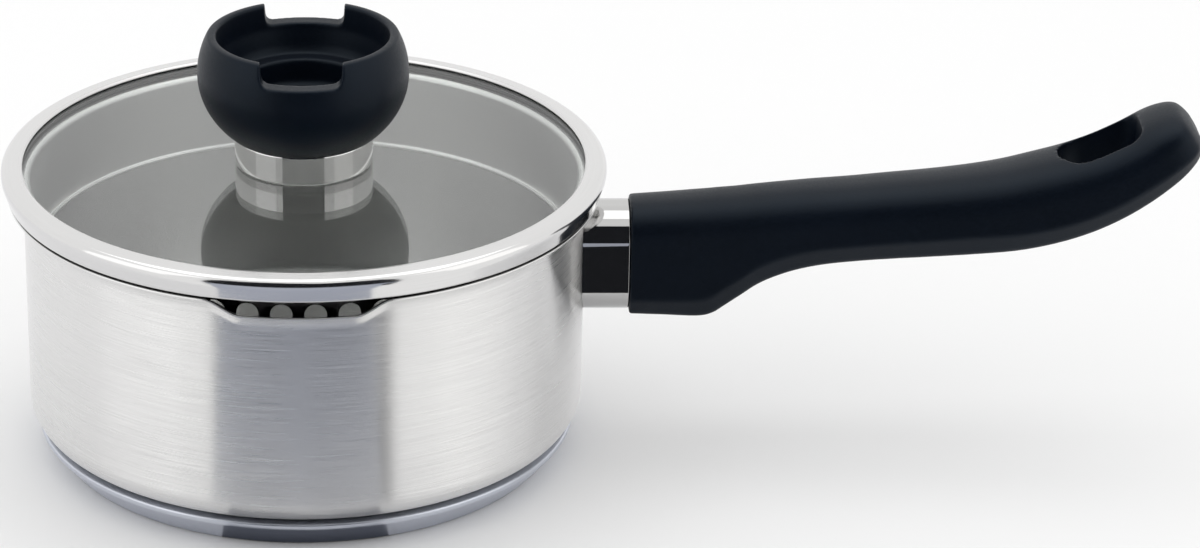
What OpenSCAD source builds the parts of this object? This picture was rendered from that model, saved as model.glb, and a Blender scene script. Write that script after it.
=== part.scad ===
// Stainless saucepan with a flat glass lid.
// The pot axis is Z, the base rests on z = 0, and the handle points along +X.
// The two pouring lips lie on the Y axis, at -Y and +Y.
// All lengths are in millimetres.

/* [Pot] */
// Outside diameter of the straight pot wall
pot_d = 162; // [140:1:170]
// Height of the flared pouring rim above the table
pot_h = 79.3; // [68:0.1:100]
// Thickness of the steel sheet of the pot
wall_t = 0.7; // [0.6:0.1:1]
// Radius of the rounded corner between wall and bottom
corner_r = 8; // [6:0.5:12]
// Diameter over the flared rim
flare_d = 172.2; // [160:0.1:176]
// Depth by which each pouring lip dips below the rim
lip_drop = 3.9; // [2:0.1:8]
// Half width of the level floor of each pouring lip, in degrees
lip_flat = 10.5; // [6:0.5:16]
// Half width of the whole dip of each pouring lip, in degrees
lip_half = 17.8; // [12:0.1:24]

/* [Base] */
// Height of the encapsulated base
base_h = 9; // [6:0.5:12]
// Diameter of the base at its upper edge
base_top_d = 157; // [130:1:160]
// Diameter of the base where it meets the table
base_foot_d = 144.5; // [120:0.5:150]
// Thickness of the steel capsule around the aluminium core
cap_t = 0.6; // [0.4:0.1:1]

/* [Handle] */
// Distance from the pot axis to the far tip of the handle
handle_tip = 257.4; // [230:0.1:300]
// Width of the handle where it meets the ferrule
handle_w = 23; // [20:0.5:28]
// Width of the handle near its far end
handle_end_w = 30; // [26:0.5:34]
// Length of the hanging slot
slot_l = 23; // [14:0.5:26]
// Width of the hanging slot
slot_w = 18; // [10:0.5:20]
// Length of the ferrule beyond the pot wall
ferrule_l = 13.1; // [9:0.1:15]
// Width of the ferrule
ferrule_w = 22; // [19:0.5:26]
// Height of the ferrule
ferrule_h = 31.6; // [24:0.1:34]
// Thickness of the bracket tongue inside the handle
tongue_t = 4; // [3:0.5:5]
// Width of the bracket tongue inside the handle
tongue_w = 12; // [8:0.5:14]

/* [Lid] */
// Diameter over the steel rim of the lid
lid_d = 174.4; // [168:0.1:180]
// Height of the top of the lid rim above the table
lid_top = 87.9; // [80:0.1:110]
// Thickness of the steel sheet of the lid rim
rim_t = 0.6; // [0.5:0.1:0.8]
// Diameter of the opening of the rim, where the glass shows
glass_view_d = 162; // [150:1:166]
// Thickness of the glass
glass_t = 3.8; // [3:0.1:5]
// Outside diameter of the skirt that hangs into the pot
skirt_d = 158.4; // [130:0.1:159]
// Height above the table of the lower edge of the skirt
skirt_low = 57.4; // [55:0.1:66]
// Diameter of each large strainer hole
hole_d = 6.2; // [4:0.1:7]
// Angle between neighbouring large strainer holes, in degrees
hole_pitch = 6.8; // [6.4:0.1:7.6]
// Number of large strainer holes
hole_n = 6; // [4:1:6]
// Diameter of each small strainer hole
fine_d = 2.8; // [1.5:0.1:3]
// Number of small strainer holes in each of the two rows
fine_n = 9; // [5:1:9]

/* [Knob] */
// Largest diameter of the knob bowl
knob_d = 60.6; // [54:0.1:66]
// Height above the table of the widest part of the knob
knob_belly = 114; // [112:0.5:118]
// Height above the table of the top of the knob
knob_top = 125.8; // [123:0.1:130]
// Diameter of the steel collar under the knob
collar_d = 39.8; // [36:0.1:42]
// Width of the two spoon notches in the knob rim
notch_w = 22.4; // [14:0.1:26]
// Depth of the two spoon notches
notch_h = 6.2; // [4:0.1:8]

/* [Hidden] */
$fn = 96;
pot_r = pot_d / 2;
pot_in = pot_r - wall_t;
flare_r = flare_d / 2;
pot_mid = pot_r - wall_t / 2;
flare_bend = flare_r - pot_mid - 0.1;
skirt_r = skirt_d / 2;
lid_r = lid_d / 2;
glass_top = lid_top - 1.1;
glass_bot = glass_top - glass_t;
glass_r = lid_r - 3.7;
knob_r = knob_d / 2;
collar_r = collar_d / 2;
collar_top = 95.6;
handle_x0 = pot_r + ferrule_l;
screw_x = handle_x0 + 15;
tongue_z = 59;

// ---------- shared shapes ----------

// Points of an arc about [cx, cy] from angle a0 to a1, in n steps
function arc(cx, cy, r, a0, a1, n = 8) =
    [for (i = [0:n]) let (a = a0 + (a1 - a0) * i / n) [cx + r * cos(a), cy + r * sin(a)]];

function unit(v) = v / norm(v);

// Average direction of a path at point i
function heading(p, i) =
    let (n = len(p),
         a = i > 0 ? unit(p[i] - p[i - 1]) : unit(p[1] - p[0]),
         b = i < n - 1 ? unit(p[i + 1] - p[i]) : a)
    unit(a + b);

// A path moved sideways by d, to the left of its direction for d > 0
function shifted(p, d) =
    [for (i = [0:len(p) - 1]) let (h = heading(p, i)) p[i] + d * [-h[1], h[0]]];

// Closed outline of a sheet of thickness t that follows a path
function strip(p, t) =
    let (a = shifted(p, t / 2), b = shifted(p, -t / 2))
    concat(a, [for (i = [len(b) - 1:-1:0]) b[i]]);

// Rectangle with rounded corners, centred
module round_rect(w, h, r) {
    square([w - 2 * r, h], center = true);
    square([w, h - 2 * r], center = true);
    for (x = [-1, 1], y = [-1, 1])
        translate([x * (w / 2 - r), y * (h / 2 - r)]) circle(r);
}

// Extrudes a Y-Z outline along +X from x0 over length l
module along_x(x0, l) {
    translate([x0, 0, 0]) rotate([90, 0, 90]) linear_extrude(l) children();
}

// ---------- pot ----------

// 0 away from the pouring lips, 1 on their level floor, smooth between
function lip_share(a) =
    let (d = min(abs(a - 90), abs(a - 270)),
         s = (lip_half - d) / (lip_half - lip_flat),
         c = min(1, max(0, s)))
    c * c * (3 - 2 * c);

// Centre line of the pot sheet at angle a, from low in the rounded corner to the flared edge
function pot_path(a) =
    let (zt = pot_h - flare_bend - lip_drop * lip_share(a),
         zb = base_h + wall_t / 2,
         rc = corner_r - wall_t / 2)
    concat(arc(pot_mid - rc, zb + rc, rc, -57, 0, 5),
           [[pot_mid, 36], [pot_mid, zt - 1.2]],
           arc(pot_mid + flare_bend, zt, flare_bend, 180, 100, 6));

// Angles of the stations around the pot, closer together at the lips
pot_angles = concat([for (a = [-60:6:60]) a],
                    [66, 70], [for (a = [72:3:108]) a], [110, 114],
                    [for (a = [120:6:240]) a],
                    [246, 250], [for (a = [252:3:288]) a], [290, 294]);

// The wall with most of its rounded corner is one solid, and the bottom, 0.2 mm clear of it, another
module pot_shell() {
    m = len(pot_path(0));
    k = 2 * m;
    n = len(pot_angles);
    rings = [for (a = pot_angles)
                 let (p = pot_path((a + 360) % 360),
                      o = shifted(p, -wall_t / 2),
                      i = shifted(p, wall_t / 2))
                 for (q = concat(o, [for (j = [m - 1:-1:0]) i[j]]))
                     [q[0] * cos(a), q[0] * sin(a), q[1]]];
    walls = [for (j = [0:n - 1], i = [0:k - 1], s = [0, 1])
                 let (a = j * k + i, b = j * k + (i + 1) % k,
                      d = ((j + 1) % n) * k + i, c = ((j + 1) % n) * k + (i + 1) % k)
                 s == 0 ? [a, b, c] : [a, c, d]];
    color("silver") {
        polyhedron(points = rings, faces = walls, convexity = 8);
        rotate_extrude()
            polygon(concat([[0, base_h]],
                           arc(pot_r - corner_r, base_h + corner_r, corner_r, -90, -60, 4),
                           arc(pot_r - corner_r, base_h + corner_r, corner_r - wall_t, -60, -90, 4),
                           [[0, base_h + wall_t]]));
    }
}

// Aluminium disc that spreads the heat, sealed inside the capsule
module base_core() {
    t = cap_t;
    fr = base_foot_d / 2;
    tr = base_top_d / 2;
    color("gainsboro") rotate_extrude()
        polygon([[0, t], [fr - 1.2, t], [fr + 0.2, t + 0.9],
                 [tr - t, base_h - 1.3], [tr - t, base_h - 0.05 - t],
                 [tr - 5, base_h - 0.05 - t], [tr - 5, base_h - 0.05], [0, base_h - 0.05]]);
}

// Pressed steel capsule around the disc, turned in against the bottom of the pot
module base_cap() {
    t = cap_t;
    fr = base_foot_d / 2;
    tr = base_top_d / 2;
    color("lightgray") rotate_extrude()
        polygon([[0, 0], [fr - 1, 0], [fr + 0.3, 0.4], [fr + 0.9, 1.1],
                 [tr - 0.3, base_h - 1.3], [tr, base_h - 0.6], [tr - 0.2, base_h - 0.05],
                 [tr - 5, base_h - 0.05], [tr - 5, base_h - 0.05 - t],
                 [tr - t, base_h - 0.05 - t], [tr - t, base_h - 1.3],
                 [fr + 0.2, t + 0.9], [fr - 1.2, t], [0, t]]);
}

// ---------- handle ----------

// Steel bracket: a curved plate spot-welded to the wall, and a tongue with a tapped hole
module bracket() {
    color("silver") difference() {
        union() {
            intersection() {
                difference() {
                    translate([0, 0, tongue_z - 10]) cylinder(r = pot_r + 1.9, h = 19);
                    translate([0, 0, tongue_z - 11]) cylinder(r = pot_r + 0.02, h = 22);
                }
                translate([pot_r - 6, -6.5, tongue_z - 11]) cube([10, 13, 22]);
            }
            difference() {
                translate([pot_r - 2, -tongue_w / 2, tongue_z - tongue_t / 2])
                    cube([screw_x + 10 - pot_r + 2, tongue_w, tongue_t]);
                translate([0, 0, tongue_z - 10]) cylinder(r = pot_r + 0.02, h = 20);
            }
        }
        translate([screw_x, 0, tongue_z - 10]) cylinder(d = 5, h = 20, $fn = 48);
    }
}

// Polished sleeve that covers the bracket and keeps the flame off the handle
module ferrule() {
    zc = (41.6 + 41.6 + ferrule_h) / 2;
    color("whitesmoke") difference() {
        along_x(pot_r - 3, ferrule_l + 2.9)
            translate([0, zc]) difference() {
                round_rect(ferrule_w, ferrule_h, 9.2);
                round_rect(ferrule_w - 2.4, ferrule_h - 2.4, 8);
            }
        translate([0, 0, 20]) cylinder(r = pot_r + 0.05, h = 70);
    }
}

// Stations of the handle: x, bottom, top, width, radius of the rounded top
handle_st = [[handle_x0, 41.2, 74.0, handle_w, 8],
             [114.2, 40.8, 75.5, handle_w + 1, 8],
             [140.6, 55.1, 78.2, handle_w + 2, 8],
             [168.5, 59.2, 81.0, handle_w + 3.2, 8],
             [204.5, 62.1, 85.4, handle_w + 5.4, 8.5],
             [228.5, 69.0, 91.9, handle_end_w, 9],
             [245.5, 79.3, 100.9, handle_end_w - 1, 9],
             [handle_tip - 0.1, 91.2, 97.6, handle_end_w - 13, 3]];

// Cross-section at one station: round top, flat sides, chamfered underside
module handle_section(s) {
    w = s[3];
    r = s[4];
    h = s[2] - s[1];
    c = min(4.6, w / 5);
    v = min(6, h / 3);
    polygon(concat([[-w / 2 + c, s[1]], [w / 2 - c, s[1]], [w / 2, s[1] + v]],
                   arc(w / 2 - r, s[2] - min(r, h / 2), min(r, h / 2), 0, 90, 6),
                   arc(-w / 2 + r, s[2] - min(r, h / 2), min(r, h / 2), 90, 180, 6),
                   [[-w / 2, s[1] + v]]));
}

module handle() {
    color("#1c2027") difference() {
        for (i = [0:len(handle_st) - 2])
            hull() {
                along_x(handle_st[i][0], 0.05) handle_section(handle_st[i]);
                along_x(handle_st[i + 1][0], 0.05) handle_section(handle_st[i + 1]);
            }
        // pocket for the tongue
        translate([handle_x0 - 5, -tongue_w / 2 - 0.1, tongue_z - tongue_t / 2 - 0.1])
            cube([screw_x + 10.6 - handle_x0 + 5, tongue_w + 0.2, tongue_t + 0.2]);
        // screw hole and recess for the screw head, from below
        translate([screw_x, 0, 30]) cylinder(d = 5.4, h = tongue_z - 30 + 5, $fn = 48);
        translate([screw_x, 0, 30]) cylinder(d = 9.6, h = 16, $fn = 48);
        // hanging slot: round towards the pot, square towards the tip
        translate([handle_tip - 17.4 - slot_l, 0, 50]) linear_extrude(70) {
            translate([slot_w / 2, 0]) circle(slot_w / 2);
            translate([slot_l - 5, -slot_w / 2 + 4]) square([5, slot_w - 8]);
            translate([slot_w / 2, -slot_w / 2]) square([slot_l - slot_w / 2 - 4, slot_w]);
            for (y = [-1, 1])
                translate([slot_l - 4, y * (slot_w / 2 - 4)]) circle(4);
        }
    }
}

// Pan-head screw with a cross recess, up through the handle into the tongue
module handle_screw() {
    color("silver") difference() {
        translate([screw_x, 0, 0]) {
            translate([0, 0, 43.4]) cylinder(d = 9, h = 2.55, $fn = 48);
            translate([0, 0, 42.8]) cylinder(d1 = 7, d2 = 9, h = 0.6, $fn = 48);
            translate([0, 0, 45.9]) cylinder(d = 4.95, h = tongue_z + tongue_t / 2 - 45.4, $fn = 48);
        }
        translate([screw_x, 0, 42.8]) for (a = [0, 90]) rotate([0, 0, a])
            cube([5, 1.1, 3.2], center = true);
    }
}

// ---------- lid ----------

// Centre line of the rim sheet, from the glass opening round the outside and down the skirt
rim_path = let (t = rim_t / 2, ro = lid_r - t, zt = lid_top - t)
    concat([[glass_view_d / 2, zt - 0.3], [glass_view_d / 2 + 0.7, zt]],
           arc(ro - 1.5, zt - 1.5, 1.5, 90, 0, 6),
           arc(ro - 3, zt - 1.9, 3, 0, -20, 3),
           arc(ro - 2.43, lid_top - 6.49, 1, -20, -150, 6),
           [[lid_r - 4.3, glass_bot - 1.2], [skirt_r + 2.6, glass_bot - 1.2]],
           arc(skirt_r + 1.5 - t, glass_bot - 2.7, 1.5, 95, 180, 5),
           [[skirt_r - t, skirt_low + 3.2]],
           arc(skirt_r - t - 0.9, skirt_low + 1.3, 0.9, 0, -150, 7));

module lid_rim() {
    zh = 73.9;
    color("silver") difference() {
        rotate_extrude($fn = 128) polygon(strip(rim_path, rim_t));
        // large strainer holes over the lip at -Y
        for (i = [0:hole_n - 1])
            rotate([0, 0, -90 + (i - (hole_n - 1) / 2) * hole_pitch])
                translate([skirt_r - 5, 0, zh]) rotate([0, 90, 0])
                    cylinder(d = hole_d, h = 10, $fn = 48);
        // two rows of small strainer holes over the lip at +Y
        for (row = [0, 1], i = [0:fine_n - 1 - row])
            rotate([0, 0, 90 + (i - (fine_n - 1 - row) / 2) * 4])
                translate([skirt_r - 5, 0, zh + 2.4 - 4.6 * row]) rotate([0, 90, 0])
                    cylinder(d = fine_d, h = 10, $fn = 24);
    }
}

// Flat toughened glass with ground edges and one hole in the middle
module lid_glass() {
    color("lightcyan", 0.4) rotate_extrude($fn = 128)
        polygon([[4.5, glass_bot], [glass_r - 0.6, glass_bot], [glass_r, glass_bot + 0.6],
                 [glass_r, glass_top - 0.6], [glass_r - 0.6, glass_top], [4.5, glass_top]]);
}

// Silicone ring that grips the edge of the glass inside the rim
module glass_seal() {
    color("dimgray") rotate_extrude($fn = 128)
        polygon([[glass_view_d / 2 + 0.4, glass_bot - 0.6], [glass_r + 0.9, glass_bot - 0.6],
                 [glass_r + 0.9, lid_top - 0.75], [glass_view_d / 2 + 1.4, lid_top - 0.75],
                 [glass_view_d / 2 + 1.1, glass_top],
                 [glass_r - 0.6, glass_top], [glass_r, glass_top - 0.6],
                 [glass_r, glass_bot + 0.6], [glass_r - 0.6, glass_bot],
                 [glass_view_d / 2 + 0.4, glass_bot]]);
}

module washer(z, h, ro, ri) {
    translate([0, 0, z]) difference() {
        cylinder(r = ro, h = h, $fn = 64);
        translate([0, 0, -1]) cylinder(r = ri, h = h + 2, $fn = 48);
    }
}

// Silicone washer between the collar and the glass
module upper_washer() { color("dimgray") washer(glass_top, 0.5, 17.5, 4); }

// Silicone washer under the glass
module lower_washer() { color("dimgray") washer(glass_bot - 1, 1, 10.5, 4); }

// Dished steel washer that spreads the load of the screw
module cup_washer() {
    color("silver") rotate_extrude($fn = 64)
        polygon([[2.8, glass_bot - 2], [8.4, glass_bot - 2], [9.6, glass_bot - 1.6],
                 [9.9, glass_bot - 1], [2.8, glass_bot - 1]]);
}

// Polished steel collar: a sleeve with a web that carries the knob
module knob_collar() {
    z0 = glass_top + 0.5;
    color("whitesmoke") rotate_extrude($fn = 96)
        polygon([[2.8, z0], [17.6, z0], [17.6, z0 - 0.42], [collar_r - 0.4, z0 - 0.42],
                 [collar_r, z0], [collar_r, collar_top - 0.3], [collar_r - 0.3, collar_top],
                 [collar_r - 0.9, collar_top], [collar_r - 1.3, collar_top - 0.5],
                 [collar_r - 1.3, z0 + 1.5], [2.8, z0 + 1.5]]);
}

// Radius of the outside of the knob at height z
function knob_out(z) =
    let (h = z < knob_belly ? 24.9 : 26.8, u = (z - knob_belly) / h)
    knob_r * sqrt(max(0, 1 - u * u));

knob_rim_r = knob_out(knob_top - 0.8);

module knob() {
    z0 = glass_top + 2.1;
    zs = collar_top + 0.15;
    color("#1c2027") difference() {
        rotate_extrude($fn = 96)
            polygon(concat([[0, z0], [collar_r - 2.4, z0], [collar_r - 1.5, z0 + 1],
                            [collar_r - 1.5, zs]],
                           [for (i = [0:14]) let (z = zs + (knob_top - 0.8 - zs) * i / 14)
                               [knob_out(z), z]],
                           [[knob_rim_r - 0.7, knob_top - 0.15], [knob_rim_r - 1.1, knob_top],
                            [knob_rim_r - 1.6, knob_top], [knob_rim_r - 2.2, knob_top - 0.5],
                            [knob_rim_r - 2.4, knob_top - 1.2],
                            [24.2, 118.5], [22.6, 113.2], [21.7, 111.8], [17.6, 111.2],
                            [17, 110.6], [16.4, 104.6], [15.6, 103.8], [0, 103.6]]));
        // spoon notches at -Y and +Y
        translate([0, 0, knob_top - notch_h]) rotate([90, 0, 0]) {
            translate([-notch_w / 2, 2.4, -40]) cube([notch_w, 20, 80]);
            translate([-notch_w / 2 + 2.4, 0, -40]) cube([notch_w - 4.8, 20, 80]);
            for (x = [-1, 1])
                translate([x * (notch_w / 2 - 2.4), 2.4, -40]) cylinder(r = 2.4, h = 80, $fn = 32);
        }
        // blind hole for the threaded insert
        translate([0, 0, z0 - 1]) cylinder(d = 8, h = 12.5, $fn = 48);
    }
}

// Brass insert with a groove, moulded into the knob
module knob_insert() {
    z0 = glass_top + 2.2;
    color("goldenrod") difference() {
        union() {
            translate([0, 0, z0]) cylinder(d = 8, h = 4, $fn = 48);
            translate([0, 0, z0 + 4]) cylinder(d = 7.2, h = 1.6, $fn = 48);
            translate([0, 0, z0 + 5.6]) cylinder(d = 8, h = 5, $fn = 48);
        }
        translate([0, 0, z0 - 1]) cylinder(d = 5, h = 13, $fn = 48);
    }
}

// Domed screw from under the glass up into the insert
module knob_screw() {
    zh = glass_bot - 2.06;
    color("silver") difference() {
        union() {
            translate([0, 0, zh - 1.2]) cylinder(d = 9.4, h = 1.2, $fn = 48);
            translate([0, 0, zh - 2.6]) cylinder(d1 = 6, d2 = 9.4, h = 1.4, $fn = 48);
            translate([0, 0, zh - 0.5]) cylinder(d = 4.84, h = 18, $fn = 48);
        }
        translate([0, 0, zh - 2.6]) for (a = [0, 90]) rotate([0, 0, a])
            cube([5, 1.1, 3], center = true);
    }
}

pot_shell();
base_core();
base_cap();
bracket();  // handle_bracket
ferrule();
handle();
handle_screw();
lid_rim();
lid_glass();
glass_seal();
upper_washer();
lower_washer();
cup_washer();
knob_collar();
knob();
knob_insert();
knob_screw();
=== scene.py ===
"""Saucepan with a glass lid: the looks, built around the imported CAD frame.

Lengths in the tables below are in millimetres and turn into metres when a mesh is made.
"""
import math

import bmesh
import bpy
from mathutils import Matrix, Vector


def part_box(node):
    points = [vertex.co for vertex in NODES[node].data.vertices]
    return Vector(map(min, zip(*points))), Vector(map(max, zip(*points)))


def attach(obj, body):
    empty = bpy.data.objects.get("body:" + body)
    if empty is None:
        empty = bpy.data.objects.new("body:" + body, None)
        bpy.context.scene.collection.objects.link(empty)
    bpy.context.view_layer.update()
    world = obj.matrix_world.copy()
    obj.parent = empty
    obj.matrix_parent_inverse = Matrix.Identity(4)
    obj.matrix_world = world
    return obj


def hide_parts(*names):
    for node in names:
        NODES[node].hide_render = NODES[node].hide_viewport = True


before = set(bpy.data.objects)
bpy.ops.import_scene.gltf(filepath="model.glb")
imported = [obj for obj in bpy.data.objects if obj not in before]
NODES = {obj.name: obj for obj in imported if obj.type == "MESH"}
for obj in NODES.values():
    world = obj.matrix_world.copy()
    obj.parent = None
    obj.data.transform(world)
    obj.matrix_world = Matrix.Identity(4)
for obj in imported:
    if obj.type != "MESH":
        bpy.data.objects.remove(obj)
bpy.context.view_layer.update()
MM = 0.001
SCENE = bpy.context.scene


def node_mm(name):
    """Lowest and highest corner of a CAD node, in millimetres."""
    lo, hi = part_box(name)
    return lo / MM, hi / MM


# ------------------------------------------------------------------ outlines

def arc(cx, cy, r, a0, a1, n):
    """Points of an arc about (cx, cy) from angle a0 to a1, in degrees."""
    out = []
    for i in range(n + 1):
        a = math.radians(a0 + (a1 - a0) * i / n)
        out.append((cx + r * math.cos(a), cy + r * math.sin(a)))
    return out


def rounded(points, closed=True, steps=5, always=False):
    """Outline of (x, y, radius) corners, each corner rounded to its radius.

    With always set, each rounded corner gets the same count of points."""
    out = []
    n = len(points)
    for i, (x, y, r) in enumerate(points):
        if r <= 0 or (not closed and i in (0, n - 1)):
            out.append((x, y))
            continue
        p = Vector((x, y))
        a = Vector(points[i - 1][:2]) - p
        b = Vector(points[(i + 1) % n][:2]) - p
        la, lb = a.length, b.length
        a.normalize()
        b.normalize()
        half = math.acos(max(-1, min(1, a.dot(b)))) / 2
        if half > math.radians(88.5) and not always:
            out.append((x, y))
            continue
        d = min(r / math.tan(half), la * 0.48, lb * 0.48)
        rr = d * math.tan(half)
        c = p + (a + b).normalized() * (rr / math.sin(half))
        s, e = p + a * d - c, p + b * d - c
        turn = s.angle_signed(e) * -1
        k = steps if always else max(2, round(steps * abs(turn) / (math.pi / 2)))
        for j in range(k + 1):
            t = turn * j / k
            out.append((c.x + s.x * math.cos(t) - s.y * math.sin(t),
                        c.y + s.x * math.sin(t) + s.y * math.cos(t)))
    return out


def spaced(points, longest, closed=True):
    """The same outline with no step longer than the given length."""
    out = []
    n = len(points)
    for i in range(n if closed else n - 1):
        a, b = points[i], points[(i + 1) % n]
        k = max(1, math.ceil(math.dist(a, b) / longest))
        for j in range(k):
            t = j / k
            out.append((a[0] + (b[0] - a[0]) * t, a[1] + (b[1] - a[1]) * t))
    if not closed:
        out.append(points[-1])
    return out


def held(points, closed=True, d=0.18):
    """The same outline with a point close to each end of its long steps, so that flats stay flat."""
    out = []
    n = len(points)
    for i in range(n):
        out.append(points[i])
        if not closed and i == n - 1:
            break
        a, b = points[i], points[(i + 1) % n]
        l = math.dist(a, b)
        if l > 6 * d:
            for t in (d / l, 1 - d / l):
                out.append((a[0] + (b[0] - a[0]) * t, a[1] + (b[1] - a[1]) * t))
    return out


def sheet(path, t, cap=4):
    """Outline of a sheet of thickness t along an open path, with round edges."""
    n = len(path)
    sides = ([], [])
    heads = []
    for i in range(n):
        a = Vector(path[max(i - 1, 0)])
        b = Vector(path[min(i + 1, n - 1)])
        h = (b - a).normalized()
        heads.append(h)
        m = Vector((-h.y, h.x)) * (t / 2)
        p = Vector(path[i])
        sides[0].append(tuple(p + m))
        sides[1].append(tuple(p - m))

    def end(p, h, sign):
        base = math.degrees(math.atan2(h.y, h.x))
        return arc(p[0], p[1], t / 2, base + 90 * sign, base - 90 * sign, cap)[1:-1]

    return (sides[0] + end(path[-1], heads[-1], 1) + sides[1][::-1]
            + end(path[0], heads[0] * -1, 1))


# -------------------------------------------------------------------- meshes

def finish_mesh(bm, name, sharp=38):
    bmesh.ops.recalc_face_normals(bm, faces=bm.faces)
    me = bpy.data.meshes.new(name)
    bm.to_mesh(me)
    bm.free()
    return add_mesh(me, name, sharp)


def add_mesh(me, name, sharp=38):
    for p in me.polygons:
        p.use_smooth = True
    if sharp is not None:
        me.set_sharp_from_angle(angle=math.radians(sharp))
    ob = bpy.data.objects.new(name, me)
    SCENE.collection.objects.link(ob)
    return ob


def lathe(name, outline, n=256, closed=True, sharp=38):
    """Turns an (r, z) outline about the Z axis. An open outline starts and ends on the axis."""
    bm = bmesh.new()
    rings = []
    for r, z in held(outline, closed):
        if r < 1e-6:
            rings.append([bm.verts.new((0, 0, z * MM))])
        else:
            rings.append([bm.verts.new((r * MM * math.cos(2 * math.pi * j / n),
                                        r * MM * math.sin(2 * math.pi * j / n), z * MM))
                          for j in range(n)])
    m = len(rings)
    for i in range(m if closed else m - 1):
        p, q = rings[i], rings[(i + 1) % m]
        for j in range(n):
            k = (j + 1) % n
            if len(p) == 1 and len(q) == 1:
                continue
            if len(p) == 1:
                bm.faces.new((p[0], q[k], q[j]))
            elif len(q) == 1:
                bm.faces.new((p[j], p[k], q[0]))
            else:
                bm.faces.new((p[j], p[k], q[k], q[j]))
    return finish_mesh(bm, name, sharp)


def loft(name, rings, caps=True, sharp=38):
    """Skins a row of closed rings of (x, y, z) points that have equal counts."""
    bm = bmesh.new()
    vs = [[bm.verts.new(tuple(c * MM for c in p)) for p in ring] for ring in rings]
    n = len(rings[0])
    for p, q in zip(vs, vs[1:]):
        for j in range(n):
            k = (j + 1) % n
            bm.faces.new((p[j], p[k], q[k], q[j]))
    if caps:
        bm.faces.new(vs[0])
        bm.faces.new(vs[-1][::-1])
    return finish_mesh(bm, name, sharp)


def prism(name, outline, lo, hi, axis):
    """A closed (u, v) outline drawn out along an axis from lo to hi."""
    def place(u, v, w):
        return {"x": (w, u, v), "y": (u, w, v), "z": (u, v, w)}[axis]
    return loft(name, [[place(u, v, w) for u, v in outline] for w in (lo, hi)])


def cylinder(name, start, end, r, n=48):
    """A straight cylinder between two points."""
    a, b = Vector(start), Vector(end)
    d = (b - a).normalized()
    u = d.orthogonal().normalized()
    v = d.cross(u)
    ring = [u * math.cos(2 * math.pi * j / n) * r + v * math.sin(2 * math.pi * j / n) * r
            for j in range(n)]
    return loft(name, [[tuple(a + p) for p in ring], [tuple(b + p) for p in ring]])


def bake(ob, sharp=38):
    """Puts the object's modifiers into its mesh."""
    dg = bpy.context.evaluated_depsgraph_get()
    dg.update()
    me = bpy.data.meshes.new_from_object(ob.evaluated_get(dg))
    old = ob.data
    ob.modifiers.clear()
    ob.data = me
    bpy.data.meshes.remove(old)
    for p in me.polygons:
        p.use_smooth = True
    if sharp is not None:
        me.set_sharp_from_angle(angle=math.radians(sharp))
    return ob


def cut(ob, tools, sharp=38):
    """Subtracts the tools from the object and removes them."""
    for t in tools:
        m = ob.modifiers.new("cut", "BOOLEAN")
        m.operation = "DIFFERENCE"
        m.solver = "EXACT"
        m.object = t
    bpy.context.view_layer.update()
    bake(ob, sharp)
    for t in tools:
        me = t.data
        bpy.data.objects.remove(t)
        bpy.data.meshes.remove(me)
    return ob


def soften(ob, voxel, rounds=6, factor=0.5):
    """Remeshes evenly and rounds every edge a little, as moulded plastic is."""
    m = ob.modifiers.new("even", "REMESH")
    m.mode = "VOXEL"
    m.voxel_size = voxel * MM
    m.adaptivity = 0
    s = ob.modifiers.new("soft", "SMOOTH")
    s.factor = factor
    s.iterations = rounds
    return bake(ob, None)


# ------------------------------------------------------------ material tools

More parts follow.
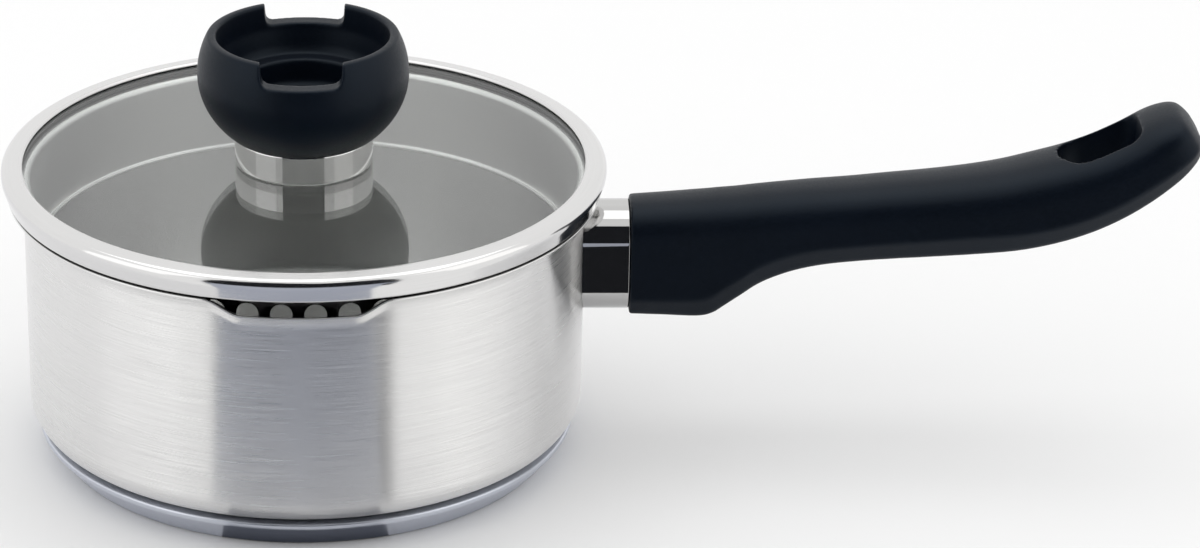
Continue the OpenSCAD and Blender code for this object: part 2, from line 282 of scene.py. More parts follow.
class Mat:
    """A node material with a few short helpers."""

    def __init__(self, name):
        self.m = bpy.data.materials.new(name)
        self.m.use_nodes = True
        self.t = self.m.node_tree
        self.bsdf = self.t.nodes["Principled BSDF"]
        self.tex = self.t.nodes.new("ShaderNodeTexCoord").outputs["Object"]

    def new(self, kind, **settings):
        n = self.t.nodes.new("ShaderNode" + kind)
        for k, v in settings.items():
            setattr(n, k, v)
        return n

    def link(self, a, b):
        self.t.links.new(a, b)

    def put(self, socket, value):
        if isinstance(value, bpy.types.NodeSocket):
            self.link(value, socket)
        else:
            socket.default_value = value

    def math(self, op, a, b=0.0, c=0.0, clamp=False):
        n = self.new("Math", operation=op, use_clamp=clamp)
        self.put(n.inputs[0], a)
        self.put(n.inputs[1], b)
        if op in ("MULTIPLY_ADD", "SMOOTH_MIN", "SMOOTH_MAX"):
            self.put(n.inputs[2], c)
        return n.outputs[0]

    def vec(self, op, a, b=None, scale=None):
        n = self.new("VectorMath", operation=op)
        self.put(n.inputs[0], a)
        if b is not None:
            self.put(n.inputs[1], b)
        if scale is not None:
            self.put(n.inputs["Scale"], scale)
        return n.outputs["Vector"]

    def noise(self, coords, scale, detail=2.0, rough=0.5, distortion=0.0):
        n = self.new("TexNoise")
        self.link(coords, n.inputs["Vector"])
        n.inputs["Scale"].default_value = scale
        n.inputs["Detail"].default_value = detail
        n.inputs["Roughness"].default_value = rough
        n.inputs["Distortion"].default_value = distortion
        return n.outputs["Fac"]

    def span(self, value, lo, hi, a=0.0, b=1.0, smooth=False):
        n = self.new("MapRange")
        n.clamp = True
        if smooth:
            n.interpolation_type = "SMOOTHSTEP"
        self.link(value, n.inputs["Value"])
        n.inputs["From Min"].default_value = lo
        n.inputs["From Max"].default_value = hi
        self.put(n.inputs["To Min"], a)
        self.put(n.inputs["To Max"], b)
        return n.outputs["Result"]

    def mix(self, fac, a, b):
        n = self.new("Mix", data_type="RGBA")
        self.put(n.inputs["Factor"], fac)
        self.put(n.inputs[6], a)
        self.put(n.inputs[7], b)
        return n.outputs[2]

    def combine(self, x, y, z):
        n = self.new("CombineXYZ")
        for s, v in zip(n.inputs, (x, y, z)):
            self.put(s, v)
        return n.outputs[0]

    def split(self, v):
        n = self.new("SeparateXYZ")
        self.link(v, n.inputs[0])
        return n.outputs

    def bump(self, height, strength, distance, after=None):
        n = self.new("Bump")
        n.inputs["Strength"].default_value = strength
        n.inputs["Distance"].default_value = distance
        self.link(height, n.inputs["Height"])
        if after is not None:
            self.link(after, n.inputs["Normal"])
        return n.outputs["Normal"]

    def set(self, **values):
        names = {"color": "Base Color", "metallic": "Metallic", "rough": "Roughness",
                 "ior": "IOR", "aniso": "Anisotropic", "turn": "Anisotropic Rotation",
                 "normal": "Normal", "tangent": "Tangent", "coat": "Coat Weight",
                 "coat_rough": "Coat Roughness", "spec": "Specular IOR Level",
                 "transmission": "Transmission Weight", "sheen": "Sheen Weight",
                 "spec_tint": "Specular Tint"}
        for k, v in values.items():
            self.put(self.bsdf.inputs[names[k]], v)
        return self.m


def rgb(r, g, b):
    return (r, g, b, 1.0)


def radial(mat, around, across, mix_r=1.0):
    """Coordinates that follow rings about the pot axis: slow around a ring, fast across rings.

    around: noise cells around one radian; across: noise cells per metre from ring to ring."""
    x, y, z = mat.split(mat.tex)
    r = mat.math("SQRT", mat.math("ADD", mat.math("MULTIPLY", x, x), mat.math("MULTIPLY", y, y)))
    safe = mat.math("MAXIMUM", r, 0.002)
    cx = mat.math("MULTIPLY", mat.math("DIVIDE", x, safe), around)
    cy = mat.math("MULTIPLY", mat.math("DIVIDE", y, safe), around)
    h = mat.math("MULTIPLY", mat.math("MULTIPLY_ADD", r, mix_r, z), across)
    return mat.combine(cx, cy, h), r


def ring_brushed(name, color, rough, aniso, line=7000.0, depth=1.0, tone=0.1, lean=0.0,
                 inside=None, top=None, painted_shade_r=None, shade=None):
    """Stainless steel with fine brush lines that run around the pot axis.

    lean: how far the lines tip the surface across themselves; inside and top: roughness of the
    faces that look at the axis and of the faces that look up; dull: radius below which the faces
    that look outwards carry painted shade; shade: tone of the painted shade on inner and upward faces."""
    m = Mat(name)
    fine, r = radial(m, 5.0, line)
    wide, _ = radial(m, 3.0, line / 6)
    slow, _ = radial(m, 1.3, line / 40)
    a = m.noise(fine, 1.0, 2.0, 0.6)
    b = m.noise(wide, 1.0, 3.0, 0.6)
    c = m.noise(slow, 1.0, 2.0, 0.5)
    cloud = m.noise(m.tex, 14.0, 3.0, 0.55)
    streak = m.math("ADD", m.math("MULTIPLY", a, 0.55), m.math("MULTIPLY", b, 0.45))
    tint = m.span(streak, 0.35, 0.65)
    lo = [v * (1 - tone) for v in color]
    hi = [min(1.0, v * (1 + tone * 0.7)) for v in color]
    base = m.mix(tint, rgb(*lo), rgb(*hi))
    base = m.mix(m.span(c, 0.35, 0.7, 0.0, 0.16), base, rgb(*[v * 0.9 for v in color]))

    geo = m.new("NewGeometry")
    px, py, _ = m.split(geo.outputs["Position"])
    around = m.vec("NORMALIZE", m.combine(m.math("MULTIPLY", py, -1.0), px, 0.0))
    outward = m.vec("NORMALIZE", m.combine(px, py, 0.0))
    nx = m.new("VectorMath", operation="DOT_PRODUCT")
    m.link(geo.outputs["Normal"], nx.inputs[0])
    m.link(outward, nx.inputs[1])
    # painted shade: the faces that look at the axis or up (the inside of the pot) get a darker copy of the
    # colour, standing in for the shade inside the covered pot; the mask inner carries it
    if shade is not None:
        inner = m.span(nx.outputs["Value"], -0.35, -0.02, 1.0, 0.0)
        inner = m.math("MAXIMUM", inner, m.span(m.split(geo.outputs["Normal"])[2], 0.6, 0.9))
        base = m.mix(inner, base, rgb(*[v * shade for v in color]))
    # painted shade: the faces that look outwards below this radius (the outside of the lid's skirt) get a
    # near-black copy of the colour, standing in for the shadow between the skirt and the pot's lip; the mask low
    # carries it
    if painted_shade_r is not None:
        low = m.math("MULTIPLY", m.span(r, painted_shade_r, painted_shade_r + 0.0006, 1.0, 0.0),
                     m.span(nx.outputs["Value"], 0.3, 0.7))
        base = m.mix(low, base, rgb(*[v * 0.12 for v in color]))
    up = m.split(geo.outputs["Normal"])[2]
    level = rough
    if top is not None:
        level = m.span(up, 0.6, 0.95, level, top, True)
    if inside is not None:
        mask = m.span(nx.outputs["Value"], -0.35, -0.02, 1.0, 0.0)
        level = m.span(mask, 0.0, 1.0, level, inside)
    smudge = m.span(cloud, 0.45, 0.75, 0.0, 0.04)
    ro = m.math("MULTIPLY_ADD", m.span(streak, 0.3, 0.7, 0.84, 1.14), level, smudge)
    height = m.math("ADD", m.math("MULTIPLY", a, 0.5), m.math("MULTIPLY", b, 0.8))
    across = m.vec("CROSS_PRODUCT", geo.outputs["Normal"], around)
    hair, _ = radial(m, 4.0, line * 6)
    tip = m.math("MULTIPLY", m.math("SUBTRACT", m.noise(hair, 1.0, 1.0, 0.5), 0.5), lean)
    if inside is not None:
        tip = m.math("MULTIPLY", tip, m.span(nx.outputs["Value"], -0.1, 0.1))
    leaning = m.vec("NORMALIZE", m.vec("ADD", geo.outputs["Normal"], m.vec("SCALE", across, None, tip)))
    nor = m.bump(height, 0.25 * depth, 0.00002, leaning)
    return m.set(color=base, metallic=1.0, rough=ro, aniso=aniso, turn=0.25,
                 tangent=around, normal=nor)


def polished(name, color, rough, line=0.0):
    """Bright polished steel with a trace of polishing lines and fingerprints."""
    m = Mat(name)
    cloud = m.noise(m.tex, 55.0, 4.0, 0.6)
    large = m.noise(m.tex, 16.0, 2.0, 0.5)
    wave, _ = radial(m, 2.0, 2500.0)
    lines = m.noise(wave, 1.0, 3.0, 0.6)
    rub = m.math("MULTIPLY", m.span(cloud, 0.45, 0.75), m.span(large, 0.4, 0.7))
    ro = m.math("ADD", m.math("MULTIPLY_ADD", rub, rough * 1.2, rough),
                m.span(lines, 0.35, 0.7, 0.0, rough * 0.35))
    base = m.mix(m.span(rub, 0.0, 1.0, 0.0, 0.5), rgb(*color), rgb(*[v * 0.93 for v in color]))
    nor = m.bump(m.math("ADD", lines, m.math("MULTIPLY", large, 0.4)), 0.06 + line, 0.00002)
    return m.set(color=base, metallic=1.0, rough=ro, normal=nor)


def moulded(name, color, rough, grain=1.0, ior=1.5, spec=0.5):
    """Matt moulded phenolic: fine spark-eroded grain, faint flow marks, rubbed edges."""
    m = Mat(name)
    fine = m.noise(m.tex, 5200.0, 2.0, 0.55)
    mid = m.noise(m.tex, 1500.0, 3.0, 0.6)
    cloud = m.noise(m.tex, 60.0, 4.0, 0.6)
    flow = m.noise(m.tex, 13.0, 2.0, 0.5, 0.8)
    speck = m.new("TexVoronoi", feature="F1")
    m.link(m.tex, speck.inputs["Vector"])
    speck.inputs["Scale"].default_value = 1300.0
    pits = m.span(speck.outputs["Distance"], 0.0, 0.35)
    base = m.mix(m.span(cloud, 0.35, 0.7), rgb(*color), rgb(*[v * 1.25 for v in color]))
    base = m.mix(m.span(mid, 0.42, 0.72, 0.0, 0.45), base, rgb(*[v * 1.8 for v in color]))
    geo = m.new("NewGeometry").outputs["Pointiness"]
    edge = m.span(geo, 0.525, 0.60)
    worn = m.math("MULTIPLY", edge, m.span(cloud, 0.4, 0.65))
    base = m.mix(m.math("MULTIPLY", worn, 0.5), base, rgb(*[v * 2.2 for v in color]))
    ro = m.math("ADD", m.span(mid, 0.3, 0.7, rough - 0.05, rough + 0.06),
                m.span(flow, 0.35, 0.65, -0.03, 0.03))
    ro = m.math("SUBTRACT", ro, m.math("MULTIPLY", worn, 0.1))
    h = m.math("ADD", m.math("MULTIPLY", fine, 0.6), m.math("MULTIPLY", pits, 0.5))
    nor = m.bump(h, 0.28 * grain, 0.00004)
    nor = m.bump(mid, 0.22 * grain, 0.00008, nor)
    return m.set(color=base, rough=ro, ior=ior, spec=spec, spec_tint=rgb(0.74, 0.88, 1.0), normal=nor)


def clear_glass(name):
    """Toughened soda-lime glass: clear, with a trace of green and the lightest wipe marks."""
    m = Mat(name)
    cloud = m.noise(m.tex, 26.0, 4.0, 0.6, 0.6)
    streak, _ = radial(m, 2.4, 260.0)
    wipe = m.noise(streak, 1.0, 3.0, 0.6)
    ro = m.math("MULTIPLY", m.math("MULTIPLY", m.span(cloud, 0.5, 0.8), m.span(wipe, 0.45, 0.75)), 0.004)
    base = m.mix(m.span(cloud, 0.3, 0.8), rgb(0.965, 0.985, 0.972), rgb(0.955, 0.978, 0.965))
    nor = m.bump(m.noise(m.tex, 9.0, 1.0), 0.01, 0.0001)
    return m.set(color=base, rough=ro, ior=1.5, transmission=1.0, normal=nor)


def rubber(name, color, rough=0.55):
    """Silicone with a soft, dusty surface."""
    m = Mat(name)
    fine = m.noise(m.tex, 2600.0, 3.0, 0.6)
    cloud = m.noise(m.tex, 90.0, 3.0, 0.6)
    base = m.mix(m.span(cloud, 0.35, 0.7), rgb(*color), rgb(*[min(1, v * 1.35) for v in color]))
    ro = m.span(cloud, 0.3, 0.7, rough - 0.06, rough + 0.08)
    return m.set(color=base, rough=ro, ior=1.42, normal=m.bump(fine, 0.25, 0.00003), sheen=0.12)


def cast(name, color, rough):
    """Plain machined or pressed metal for the hidden pieces: fine lines and a dim bloom."""
    m = Mat(name)
    rings, _ = radial(m, 3.0, 3500.0)
    lines = m.noise(rings, 1.0, 3.0, 0.6)
    bloom = m.noise(m.tex, 120.0, 4.0, 0.6)
    base = m.mix(m.span(bloom, 0.35, 0.7), rgb(*color), rgb(*[v * 0.82 for v in color]))
    ro = m.math("ADD", m.span(lines, 0.3, 0.7, rough * 0.8, rough * 1.15),
                m.span(bloom, 0.4, 0.7, 0.0, 0.08))
    return m.set(color=base, metallic=1.0, rough=ro, normal=m.bump(lines, 0.2, 0.00002))


# shade=0.62 paints shade on the inside of the pot
M_BODY = ring_brushed("steel_brushed_wall", (0.84, 0.835, 0.825), 0.29, 1.0, 7000.0, 0.25, 0.02,
                      1.9, inside=0.20, top=0.24, shade=0.62)
M_BASE = ring_brushed("steel_turned_base", (0.64, 0.665, 0.73), 0.32, 0.6, 3600.0, 0.2, 0.03, 0.5)
# the rim's skirt carries painted shade below a radius of 79.4 mm
M_RIM = ring_brushed("steel_satin_rim", (0.75, 0.745, 0.74), 0.11, 0.6, 9000.0, 0.2, 0.02, 0.3,
                     inside=0.34, top=0.17, painted_shade_r=0.0794)
M_FERRULE = polished("steel_bright_ferrule", (0.57, 0.567, 0.56), 0.045)
M_CHROME = polished("steel_mirror", (0.88, 0.875, 0.865), 0.028)
M_FAST = cast("steel_fastener", (0.72, 0.71, 0.69), 0.28)
M_ALU = cast("aluminium_core", (0.80, 0.81, 0.82), 0.38)
M_BRASS = cast("brass_insert", (0.80, 0.61, 0.30), 0.25)
M_BLACK = moulded("phenolic_black", (0.0011, 0.0027, 0.0066), 0.42, 1.3, 1.46, 0.24)
M_GLASS = clear_glass("glass_clear")
M_SEAL = rubber("silicone_grey", (0.075, 0.078, 0.08))


def wear(ob, mat):
    """Gives an object one material."""
    ob.data.materials.clear()
    ob.data.materials.append(mat)
    return ob


def stand_for(ob, body, slot, mat, *nodes):
    wear(ob, mat)
    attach(ob, body)
    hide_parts(*nodes)
    return ob


def dress(node, mat):
    """Gives a CAD node a better material in each of its material slots."""
    ob = NODES[node]
    if not ob.material_slots:
        ob.data.materials.append(mat)
    for s in ob.material_slots:
        s.material = mat


# ---------------------------------------------------------------- the camera

TARGET = Vector((0.02939, 0.0, 0.05069))
ELEV = math.radians(24.16)
DIST = 1.2953
cam_data = bpy.data.cameras.new("camera")
cam_data.sensor_width = 36.0
cam_data.lens = 133.3
cam_data.shift_x = 0.1616
cam_data.clip_start = 0.05
cam_data.clip_end = 60.0
camera = bpy.data.objects.new("camera", cam_data)
camera.location = TARGET + Vector((0.0, -math.cos(ELEV), math.sin(ELEV))) * DIST
camera.rotation_euler = (math.pi / 2 - ELEV, 0.0, 0.0)
SCENE.collection.objects.link(camera)
SCENE.camera = camera

# ------------------------------------------------------------------- the pot

WALL = 0.7
POT_R = 81.0
BASE_H = 9.0
LIP_DROP, LIP_FLAT, LIP_HALF = 3.9, 10.5, 17.8
SHELL_LO, SHELL_HI = node_mm("pot_shell")
MID = POT_R - WALL / 2
FLARE = 86.1 - MID - 0.1


def lip_share(a):
    d = min(abs(a - 90), abs(a - 270))
    c = min(1.0, max(0.0, (LIP_HALF - d) / (LIP_HALF - LIP_FLAT)))
    return c * c * (3 - 2 * c)


def pot_outline(a):
    """Closed half outline of the pot sheet at angle a, from the axis outside to the axis inside."""
    zt = 79.3 - FLARE - LIP_DROP * lip_share(a % 360)
    zb = BASE_H + WALL / 2
    rc = 8.0 - WALL / 2
    path = [(r, zb) for r in (0.0, 6, 14, 24, 34, 44, 54, 62, 68)]
    path += arc(MID - rc, zb + rc, rc, -90, 0, 18)
    path += [(MID, z) for z in (24, 32, 40, 48, 56, 63)]
    top = zt - 1.0
    path += [(MID, 63 + (top - 63) * t) for t in (0.5, 1.0)]
    path += arc(MID + FLARE, zt, FLARE, 180, 100, 20)
    outer, inner = [], []
    n = len(path)
    for i, p in enumerate(path):
        h = (Vector(path[min(i + 1, n - 1)]) - Vector(path[max(i - 1, 0)])).normalized()
        if i == 0:
            h = Vector((1, 0))
        m = Vector((h.y, -h.x)) * (WALL / 2)
        outer.append((p[0] + m.x, p[1] + m.y))
        inner.append((p[0] - m.x, p[1] - m.y))
    base = math.degrees(math.atan2(h.y, h.x))
    lip = arc(path[-1][0], path[-1][1], WALL / 2, base - 90, base + 90, 8)[1:-1]
    return held(outer + lip + inner[::-1], closed=False)


def make_pot():
    angles = []
    a = 0.0
    while a < 360 - 1e-6:
        angles.append(a)
        near = min(abs(a + 0.01 - 90), abs(a + 0.01 - 270))
        a = round(a + (0.5 if near <= 20 else 1.25), 4)
    bm = bmesh.new()
    first = pot_outline(angles[0])
    m = len(first)
    low = bm.verts.new((0, 0, first[0][1] * MM))
    high = bm.verts.new((0, 0, first[-1][1] * MM))
    cols = []
    for a in angles:
        c, s = math.cos(math.radians(a)), math.sin(math.radians(a))
        cols.append([bm.verts.new((r * c * MM, r * s * MM, z * MM))
                     for r, z in pot_outline(a)[1:-1]])
    k = len(angles)
    for j in range(k):
        p, q = cols[j], cols[(j + 1) % k]
        bm.faces.new((low, p[0], q[0]))
        bm.faces.new((high, q[-1], p[-1]))
        for i in range(m - 3):
            bm.faces.new((p[i], p[i + 1], q[i + 1], q[i]))
    return finish_mesh(bm, "pot_body", 50)


stand_for(make_pot(), "pot", "brushed_steel", M_BODY, "pot_shell")

# ------------------------------------------------------------------ the base

FOOT_R, TOP_R = 144.5 / 2, 157.0 / 2
cap_out = rounded([
    (0, 0.35, 0), (26, 0.35, 0.6), (26.6, 0.0, 0.6), (30, 0.0, 0.6), (30.6, 0.35, 0.6),
    (44, 0.35, 0.6), (44.6, 0.0, 0.6), (48, 0.0, 0.6), (48.6, 0.35, 0.6),
    (60, 0.35, 0.6), (60.6, 0.0, 0.6), (FOOT_R - 0.2, 0.0, 2.2),
    (TOP_R - 0.1, BASE_H - 1.6, 1.0), (TOP_R, BASE_H - 0.05, 0.5),
    (TOP_R - 5, BASE_H - 0.05, 0), (TOP_R - 5, BASE_H - 0.7, 0.1),
    (TOP_R - 1.0, BASE_H - 0.7, 0.3), (FOOT_R - 0.8, 0.75, 1.5), (0, 0.95, 0)],
    closed=False, steps=6)
base_cap = lathe("base_capsule", spaced(cap_out, 3.0, closed=False), 288, closed=False)
stand_for(base_cap, "pot", "base_steel", M_BASE, "base_cap")
dress("base_core", M_ALU)

# ------------------------------------------------------------------- the lid

LID_R, LID_TOP, RIM_T = 87.2, 87.9, 0.6
VIEW_R = 81.0
GLASS_TOP = node_mm("lid_glass")[1].z
GLASS_BOT = node_mm("lid_glass")[0].z
SKIRT_R, SKIRT_LOW = 79.2, 57.4


def rim_line():
    """Centre line of the pressed rim: top that falls outwards, round shoulder, side that leans
    in, rolled foot, shelf, skirt and curl."""
    t = RIM_T / 2
    ro, zt = LID_R - t, LID_TOP - t
    line = [(VIEW_R + 0.3, zt - 0.3), (VIEW_R + 0.7, zt - 0.03), (VIEW_R + 1.1, zt - 0.03)]
    line += arc(ro - 1.75, zt - 2.15, 1.75, 83, 0, 14)
    line += arc(ro - 3.4, zt - 2.15, 3.4, 0, -20, 6)[1:]
    line += arc(ro - 2.23, LID_TOP - 6.49, 1.0, -20, -150, 14)
    line += [(LID_R - 4.2, GLASS_BOT - 1.75)]
    line += [(SKIRT_R + 2.6, GLASS_BOT - 1.5)]
    line += arc(SKIRT_R + 1.5 - t, GLASS_BOT - 3.0, 1.5, 95, 180, 8)
    line += [(SKIRT_R - t, z) for z in (77.5, 75.5, 72, 69, SKIRT_LOW + 3.2)]
    line += arc(SKIRT_R - t - 0.9, SKIRT_LOW + 1.3, 0.9, 0, -150, 12)
    return line


def make_rim():
    ob = lathe("rim_band", sheet(rim_line(), RIM_T), 288)
    tools = []
    zh = 73.9

    def hole(angle, z, r, n):
        a = math.radians(angle)
        d = Vector((math.cos(a), math.sin(a), 0))
        tools.append(cylinder("hole", d * (SKIRT_R - 5) + Vector((0, 0, z)),
                              d * (SKIRT_R + 4) + Vector((0, 0, z)), r, n))
    for i in range(6):
        hole(-90 + (i - 2.5) * 6.8, zh, 3.1, 48)
    for row in (0, 1):
        for i in range(9 - row):
            hole(90 + (i - (8 - row) / 2) * 4, zh + 2.4 - 4.6 * row, 1.4, 24)
    return cut(ob, tools, 40)


stand_for(make_rim(), "lid", "rim_steel", M_RIM, "lid_rim")

glass = lathe("lid_pane", rounded([
    (4.5, GLASS_BOT, 0.3), (83.5, GLASS_BOT, 0.6), (83.5, GLASS_TOP, 0.6),
    (4.5, GLASS_TOP, 0.3)], steps=4), 256)
stand_for(glass, "lid", "lid_glass", M_GLASS, "lid_glass")

dress("glass_seal", M_SEAL)
dress("upper_washer", M_SEAL)
dress("lower_washer", M_SEAL)
dress("cup_washer", M_FAST)
dress("knob_screw", M_FAST)
dress("knob_insert", M_BRASS)
dress("handle_screw", M_FAST)
dress("handle_bracket", M_FAST)

# ------------------------------------------------------- the collar and knob

COLLAR_R, COLLAR_TOP = 19.9, 95.6
cz = GLASS_TOP + 0.5
collar = lathe("collar_sleeve", rounded([
    (2.8, cz, 0.1), (17.6, cz, 0), (17.6, cz - 0.42, 0.1), (COLLAR_R, cz - 0.42, 0.45),
    (COLLAR_R, COLLAR_TOP, 0.5), (COLLAR_R - 1.3, COLLAR_TOP, 0.4),
    (COLLAR_R - 1.3, cz + 1.5, 0.3), (2.8, cz + 1.5, 0.1)], steps=5), 192)
stand_for(collar, "lid", "polished_steel", M_CHROME, "knob_collar")

KNOB_R, BELLY, KNOB_TOP = 30.3, 114.0, 125.8
NOTCH_W, NOTCH_H = 22.4, 6.2


def knob_out(z):
    h = 24.9 if z < BELLY else 26.8
    u = (z - BELLY) / h
    return KNOB_R * math.sqrt(max(0.0, 1 - u * u))


def make_knob():
    z0 = GLASS_TOP + 2.1
    zs = COLLAR_TOP + 0.15
    rr = knob_out(KNOB_TOP)
    line = [(0, z0), (COLLAR_R - 2.4, z0), (COLLAR_R - 1.5, z0 + 1), (COLLAR_R - 1.5, zs)]
    line += [(knob_out(zs + (KNOB_TOP - 0.3 - zs) * i / 40), zs + (KNOB_TOP - 0.3 - zs) * i / 40)
             for i in range(41)]
    inner = rounded([(rr - 0.3, KNOB_TOP, 0), (rr - 2.4, KNOB_TOP, 0.6), (24.3, 118.5, 6),
                     (22.7, 113.2, 3), (21.6, 111.3, 1.2), (17.3, 111.0, 0.9),
                     (16.3, 103.6, 2.2), (0, 103.5, 0)], closed=False, steps=6)
    ob = lathe("knob_bowl", line + inner, 240, closed=False)
    z = KNOB_TOP - NOTCH_H
    w = NOTCH_W / 2
    slot = rounded([(-w, z, 2.2), (w, z, 2.2), (w + 0.9, KNOB_TOP + 8, 0), (-w - 0.9, KNOB_TOP + 8, 0)],
                   steps=8)
    notch = prism("notch", slot, -40, 40, "y")
    bore = cylinder("bore", (0, 0, z0 - 1), (0, 0, z0 + 11.5), 4.0)
    cut(ob, [notch, bore])
    return soften(ob, 0.42, 5)


stand_for(make_knob(), "lid", "black_phenolic", M_BLACK, "knob")

# --------------------------------------------------- the ferrule and handle

FER_LO, FER_HI = node_mm("ferrule")


def make_ferrule():
    zc = (FER_LO.z + FER_HI.z) / 2
    w, h = FER_HI.y - FER_LO.y, FER_HI.z - FER_LO.z

    def ring(w, h, r, x):
        pts = rounded([(-w / 2, zc - h / 2, r), (w / 2, zc - h / 2, r),
                       (w / 2, zc + h / 2, r), (-w / 2, zc + h / 2, r)], steps=16)
        return [(x, y, z) for y, z in held(pts)]
    x1 = POT_R + 13.0
    e = 0.35
    rows = [ring(w, h, 9.2, 76.0), ring(w, h, 9.2, x1 - e - 0.25), ring(w, h, 9.2, x1 - e)]
    for a in (22.5, 45, 67.5, 90):
        d = e * (1 - math.cos(math.radians(a)))
        rows.append(ring(w - 2 * d, h - 2 * d, 9.2 - d, x1 - e + e * math.sin(math.radians(a))))
    inner = [ring(w - 2.4, h - 2.4, 8.0, x) for x in (x1, 76.0)]
    rings = rows + inner
    bm = bmesh.new()
    vs = [[bm.verts.new(tuple(c * MM for c in p)) for p in r] for r in rings]
    n = len(vs[0])
    m = len(vs)
    for i in range(m):
        p, q = vs[i], vs[(i + 1) % m]
        for j in range(n):
            k = (j + 1) % n
            bm.faces.new((p[j], p[k], q[k], q[j]))
    ob = finish_mesh(bm, "handle_ferrule")
    saddle = cylinder("saddle", (0, 0, 30), (0, 0, 85), POT_R + 0.06, 360)
    return cut(ob, [saddle], 30)


stand_for(make_ferrule(), "pot", "polished_steel", M_FERRULE, "ferrule")

# Stations of the handle: top point, bottom point, width, height of the crease above the bottom
HANDLE = [
    ((94.1, 74.6), (94.1, 41.3), 23.0, 5.8),
    ((104.0, 75.3), (104.0, 41.0), 23.3, 6.1),
    ((113.0, 76.0), (114.0, 40.7), 23.8, 6.6),
    ((117.0, 76.3), (118.4, 41.7), 24.0, 7.0),
    ((120.0, 76.6), (121.6, 43.9), 24.1, 7.2),
    ((125.0, 77.0), (126.4, 47.4), 24.3, 7.0),
    ((130.0, 77.6), (132.2, 51.5), 24.5, 6.8),
    ((138.0, 78.4), (140.4, 55.0), 24.9, 6.6),
    ((147.0, 79.2), (149.4, 57.2), 25.2, 6.4),
    ((158.0, 80.0), (160.2, 58.5), 25.5, 6.3),
    ((168.0, 81.0), (170.4, 59.3), 25.8, 6.4),
    ((180.0, 82.1), (182.4, 60.1), 26.4, 6.6),
    ((191.0, 83.4), (194.2, 61.0), 27.1, 6.9),
    ((201.0, 85.0), (206.0, 62.3), 27.9, 6.6),
    ((210.0, 87.2), (217.0, 64.8), 28.6, 6.3),
    ((219.0, 89.6), (227.0, 68.4), 29.3, 6.0),
    ((227.0, 92.4), (236.0, 73.1), 29.9, 5.8),
    ((235.0, 96.2), (244.0, 78.6), 30.0, 5.4),
    ((242.0, 100.2), (251.0, 84.6), 29.3, 4.6),
    ((247.0, 102.0), (255.0, 89.0), 27.2, 3.6),
    ((250.4, 102.3), (256.9, 91.8), 23.6, 2.8),
    ((252.6, 101.2), (257.4, 93.6), 18.6, 2.0),
    ((254.2, 100.0), (257.3, 95.2), 12.0, 1.2),
]


def smooth_rows(rows, parts):
    """Catmull-Rom interpolation between station rows of numbers."""
    out = []
    n = len(rows)
    for i in range(n - 1):
        p0, p1, p2, p3 = rows[max(i - 1, 0)], rows[i], rows[i + 1], rows[min(i + 2, n - 1)]
        for k in range(parts):
            t = k / parts
            out.append([0.5 * (2 * b + (c - a) * t + (2 * a - 5 * b + 4 * c - d) * t * t
                               + (3 * b - a - 3 * c + d) * t ** 3)
                        for a, b, c, d in zip(p0, p1, p2, p3)])
    out.append(list(rows[-1]))
    return out


def handle_ring(tx, tz, bx, bz, w, crease):
    """One cross-section: crowned top, flat sides, a crease low on each side, narrower underside."""
    top, bot = Vector((tx, tz)), Vector((bx, bz))
    up = top - bot
    h = up.length
    up.normalize()
    hw = w / 2
    k = min(crease, h * 0.4)
    inset = min(3.4, hw * 0.32)
    right = [(0.0, h)]
    crown = min(9.5, h * 0.42)
    e = 2.35
    for i in range(1, 22):
        a = math.pi / 2 * i / 22
        c, s = math.cos(a), math.sin(a)
        right.append((hw * (s ** (2 / e)), h - crown + crown * (c ** (2 / e))))
    right.append((hw, h - crown))
    for t in (0.25, 0.5, 0.75):
        right.append((hw, h - crown + (k - (h - crown)) * t))
    right.append((hw, k + 0.5))
    right.append((hw - 0.12, k - 0.1))
    rb = min(2.2, k * 0.4)
    side = rounded([(hw - 0.12, k - 0.1, 0), (hw - inset, 0.0, rb * 1.2), (0.0, 0.0, 0)],
                   closed=False, steps=8, always=True)
    right += side[1:]
    pts = right + [(-y, z) for y, z in right[-2:0:-1]]
    return [(bot.x + up.x * z, y, bot.y + up.y * z) for y, z in pts]


def make_handle():
    rows = [[t[0], t[1], b[0], b[1], w, c] for t, b, w, c in HANDLE]
    rings = [handle_ring(*r) for r in smooth_rows(rows, 4)]
    ob = loft("handle_grip", rings)
    even = ob.modifiers.new("even", "REMESH")
    even.mode = "VOXEL"
    even.voxel_size = 0.6 * MM
    bake(ob, None)
    # hanging slot, square towards the tip
    sx0, sx1, sw = 217.0, 240.0, 9.0
    slot = []
    slot += arc(sx0 + sw, 0, sw, 270, 90, 24)
    slot += arc(sx1 - 4, sw - 4, 4, 90, 0, 10)
    slot += arc(sx1 - 4, -sw + 4, 4, 0, -90, 10)
    tools = [prism("slot", slot, 40, 130, "z")]
    # pocket for the tongue, and the screw's hole and recess from below
    tools.append(prism("pocket", [(-6.1, 56.9), (6.1, 56.9), (6.1, 61.1), (-6.1, 61.1)],
                       90.0, 119.7, "x"))
    tools.append(cylinder("way", (109.1, 0, 30), (109.1, 0, 64), 2.7))
    tools.append(cylinder("recess", (109.1, 0, 30), (109.1, 0, 46), 4.8))
    cut(ob, tools)
    return soften(ob, 0.5, 5)


stand_for(make_handle(), "pot", "black_phenolic", M_BLACK, "handle")

# ----------------------------------------------------------------- the stage

def flat_material(name, color, rough, amount=0.02):
    m = Mat(name)
    cloud = m.noise(m.tex, 2.5, 3.0)
    return m.set(color=m.mix(cloud, rgb(*color), rgb(*[c * (1 - amount) for c in color])),
                 rough=rough, spec=0.2)


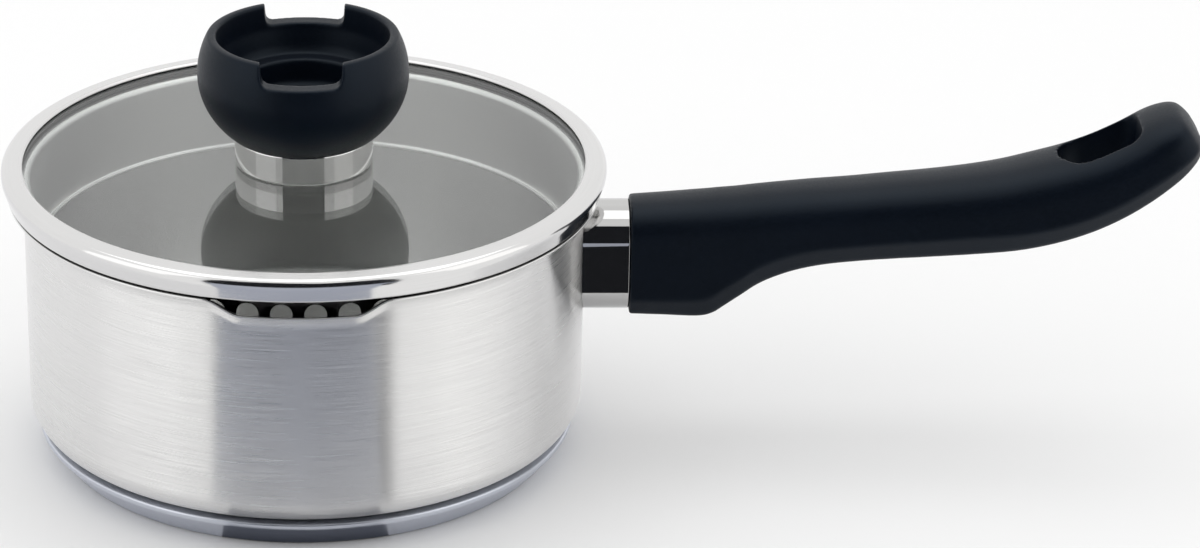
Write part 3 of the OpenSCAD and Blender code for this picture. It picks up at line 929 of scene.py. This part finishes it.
def panel(name, corners, mat):
    me = bpy.data.meshes.new(name)
    me.from_pydata([tuple(c) for c in corners], [], [tuple(range(len(corners)))])
    ob = bpy.data.objects.new(name, me)
    me.materials.append(mat)
    SCENE.collection.objects.link(ob)
    return ob


floor = panel("floor", [(-9, -9, 0), (9, -9, 0), (9, 9, 0), (-9, 9, 0)],
              flat_material("pale_floor", (0.86, 0.86, 0.86), 0.7))
floor.location.z = -0.0002
floor.visible_glossy = False

# What polished steel sees of the table: a light sheet that ends a little in front of the pot
table = panel("table_sheet", [(-1.2, -0.145, 0), (-0.075, -0.145, 0), (-0.055, -0.115, 0),
                              (0.045, -0.115, 0), (0.075, -0.07, 0),
                              (1.2, -0.07, 0), (1.2, 1.2, 0), (-1.2, 1.2, 0)],
              flat_material("table_sheet", (0.80, 0.80, 0.81), 0.8))
table.location.z = -0.0001

world = bpy.data.worlds.new("studio")
world.use_nodes = True
SCENE.world = world
world.node_tree.nodes["Background"].inputs["Color"].default_value = (1.0, 1.0, 1.0, 1.0)
world.node_tree.nodes["Background"].inputs["Strength"].default_value = 0.98


def softbox(name, place, aim, w, h, power, color=(1, 1, 1)):
    li = bpy.data.lights.new(name, "AREA")
    li.shape = "RECTANGLE"
    li.size, li.size_y = w, h
    li.energy = power
    li.color = color
    ob = bpy.data.objects.new(name, li)
    ob.location = place
    ob.rotation_euler = (Vector(aim) - Vector(place)).to_track_quat("-Z", "Y").to_euler()
    SCENE.collection.objects.link(ob)
    return ob


softbox("box_left", (-1.25, -0.55, 0.75), (0, 0, 0.06), 1.0, 1.3, 1.6)
softbox("box_right", (1.35, -0.45, 0.8), (0.05, 0, 0.06), 1.0, 1.3, 1.4, (1.0, 0.985, 0.96))
softbox("box_top", (0.0, 0.35, 1.7), (0.03, 0, 0.0), 1.8, 1.2, 6.0)


def only_reflections(ob):
    ob.visible_camera = False
    ob.visible_diffuse = False
    ob.visible_shadow = False
    ob.visible_transmission = False
    ob.visible_volume_scatter = False
    return ob


def card(name, corners, level=0.01):
    """A dark card that only reflections see, as a studio flags its camera side; the cards lying on the floor in
    front of the pot are painted shadow and shade.
    """
    m = Mat(name)
    n = m.noise(m.tex, 6.0, 2.0)
    m.set(color=m.mix(n, rgb(level, level * 1.05, level * 1.2), rgb(level * 0.7, level * 0.75, level * 0.9)),
          rough=0.9, spec=0.0)
    return only_reflections(panel(name, corners, m.m))


only_reflections(table)
card("card_front", [(-2.1, -3.0, -2.5), (2.1, -3.0, -2.5), (2.1, -3.0, 4.2), (-2.1, -3.0, 4.2)], 0.02)
# painted shadow: a grey sheet that only reflections see, just in front of the base, standing in for the pot's
# shadow on the floor that the base reflects
foot_shadow_sheet = card("foot_shadow_card", [(-0.025, -0.084, 0), (0.027, -0.084, 0), (0.022, -0.05, 0), (-0.020, -0.05, 0)], 0.19)
foot_shadow_sheet.location.z = -0.00005
# painted shade: a grey wedge that only reflections see, standing in for the shaded floor in front of the pot
# that the pot reflects
card("front_floor_shade", [(-0.30, -0.45, 0), (0.28, -0.45, 0), (0.12, -0.25, 0), (0.045, -0.115, 0),
                     (-0.055, -0.115, 0), (-0.135, -0.25, 0)], 0.46)


SCENE.view_settings.view_transform = "Standard"
SCENE.view_settings.look = "None"
